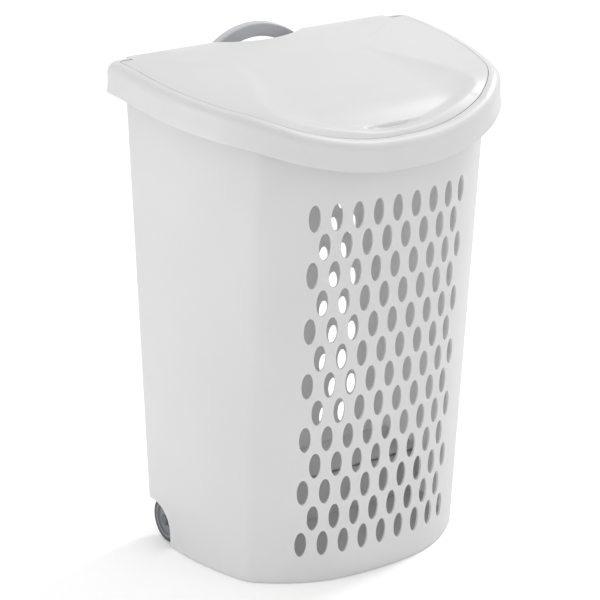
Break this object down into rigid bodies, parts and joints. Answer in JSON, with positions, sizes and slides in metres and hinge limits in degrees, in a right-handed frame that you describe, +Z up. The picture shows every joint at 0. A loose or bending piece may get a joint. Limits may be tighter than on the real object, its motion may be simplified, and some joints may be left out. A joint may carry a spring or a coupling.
{
  "type": "laundry hamper with lid",
  "caption": "Tall D-shaped perforated laundry tub with an overhanging collar, hinged lid, pull-up handle and rear wheels.",
  "frame": {"origin": "on the floor under the middle of the whole object's box", "axes": "+Z up, -Y to the rounded perforated front, +Y to the flat back with the handle, +X across"},
  "size_m": [0.4848, 0.3649, 0.684],
  "materials": {
    "white_polypropylene": "moulded white polypropylene, satin gloss",
    "grey_polypropylene": "moulded grey plastic, soft satin",
    "grey_rail": "extruded grey plastic tube, satin",
    "wheel_plastic": "moulded grey plastic wheel",
    "tyre": "dark grey soft tyre",
    "zinc_steel": "drawn steel, zinc plated"
  },
  "bodies": {
    "frame": {"tub": "white_polypropylene", "rim_collar": "white_polypropylene", "axle": "zinc_steel", "axle_cap_left": "zinc_steel", "axle_cap_right": "zinc_steel", "lid_hinge_pin_left": "zinc_steel", "lid_hinge_pin_right": "zinc_steel", "rail_guide_upper_left": "white_polypropylene", "rail_guide_upper_right": "white_polypropylene", "rail_guide_lower_left": "white_polypropylene", "rail_guide_lower_right": "white_polypropylene"},
    "lid": {"lid": "white_polypropylene"},
    "handle": {"handle_grip": "grey_polypropylene", "handle_rail_left": "grey_rail", "handle_rail_right": "grey_rail", "rail_stop_left": "grey_polypropylene", "rail_stop_right": "grey_polypropylene"},
    "wheel_left": {"wheel_left": "wheel_plastic", "tyre_left": "tyre"},
    "wheel_right": {"wheel_right": "wheel_plastic", "tyre_right": "tyre"}
  },
  "joints": [
    {"name": "lid_hinge", "type": "hinge", "parent": "frame", "child": "lid", "pos_m": [0, 0.157, 0.659], "axis": [-1, 0, 0], "range_deg": [0, 90]},
    {"name": "handle_slide", "type": "slide", "parent": "frame", "child": "handle", "axis": [0, 0, 1], "range_m": [0, 0.27]},
    {"name": "wheel_left_spin", "type": "hinge", "parent": "frame", "child": "wheel_left", "pos_m": [-0.1815, 0.109, 0.032], "axis": [1, 0, 0], "continuous": true},
    {"name": "wheel_right_spin", "type": "hinge", "parent": "frame", "child": "wheel_right", "pos_m": [0.1815, 0.109, 0.032], "axis": [1, 0, 0], "continuous": true}
  ]
}
